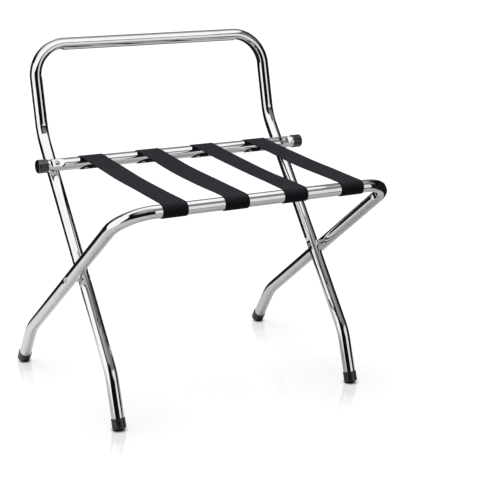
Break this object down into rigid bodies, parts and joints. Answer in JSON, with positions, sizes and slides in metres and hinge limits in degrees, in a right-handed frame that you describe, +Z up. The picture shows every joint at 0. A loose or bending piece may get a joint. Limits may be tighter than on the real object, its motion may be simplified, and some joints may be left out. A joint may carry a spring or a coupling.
{
  "type": "folding luggage rack",
  "caption": "Folding rack of bent chrome tube with a raised back rail, crossed legs, webbing straps across the seat and black end caps.",
  "frame": {"origin": "on the floor, under the middle of the rack's own box, with the rack open", "axes": "+X to the right along the rails as seen from the front, +Y to the back where the backrest is, +Z up"},
  "size_m": [0.6208, 0.5534, 0.7048],
  "materials": {
    "chrome_tube": "polished",
    "bright_steel": "bright plated",
    "black_plastic": "satin",
    "black_rubber": "satin",
    "black_webbing": "woven"
  },
  "bodies": {
    "backrest_side": {"backrest_frame": "chrome_tube", "rear_crossbar": "chrome_tube", "front_foot_cap_left": "black_rubber", "crossbar_cap_left": "black_plastic", "pivot_rivet_left": "bright_steel", "pivot_spacer_left": "bright_steel", "crossbar_bolt_left": "bright_steel", "crossbar_nut_left": "bright_steel", "front_foot_cap_right": "black_rubber", "crossbar_cap_right": "black_plastic", "pivot_rivet_right": "bright_steel", "pivot_spacer_right": "bright_steel", "crossbar_bolt_right": "bright_steel", "crossbar_nut_right": "bright_steel", "strap_1": "black_webbing", "strap_2": "black_webbing", "strap_3": "black_webbing", "strap_4": "black_webbing", "rear_strap_screw_1_left": "bright_steel", "rear_strap_screw_1_right": "bright_steel", "rear_strap_screw_2_left": "bright_steel", "rear_strap_screw_2_right": "bright_steel", "rear_strap_screw_3_left": "bright_steel", "rear_strap_screw_3_right": "bright_steel", "rear_strap_screw_4_left": "bright_steel", "rear_strap_screw_4_right": "bright_steel"},
    "seat_side": {"seat_frame": "chrome_tube", "rear_foot_cap_left": "black_rubber", "rear_foot_cap_right": "black_rubber", "front_strap_screw_1_left": "bright_steel", "front_strap_screw_1_right": "bright_steel", "front_strap_screw_2_left": "bright_steel", "front_strap_screw_2_right": "bright_steel", "front_strap_screw_3_left": "bright_steel", "front_strap_screw_3_right": "bright_steel", "front_strap_screw_4_left": "bright_steel", "front_strap_screw_4_right": "bright_steel"}
  },
  "joints": [
    {"name": "fold", "type": "hinge", "parent": "backrest_side", "child": "seat_side", "pos_m": [0, -0.01718, 0.264], "axis": [-1, 0, 0], "range_deg": [0, 79], "deforming": ["strap_1", "strap_2", "strap_3", "strap_4"]}
  ]
}
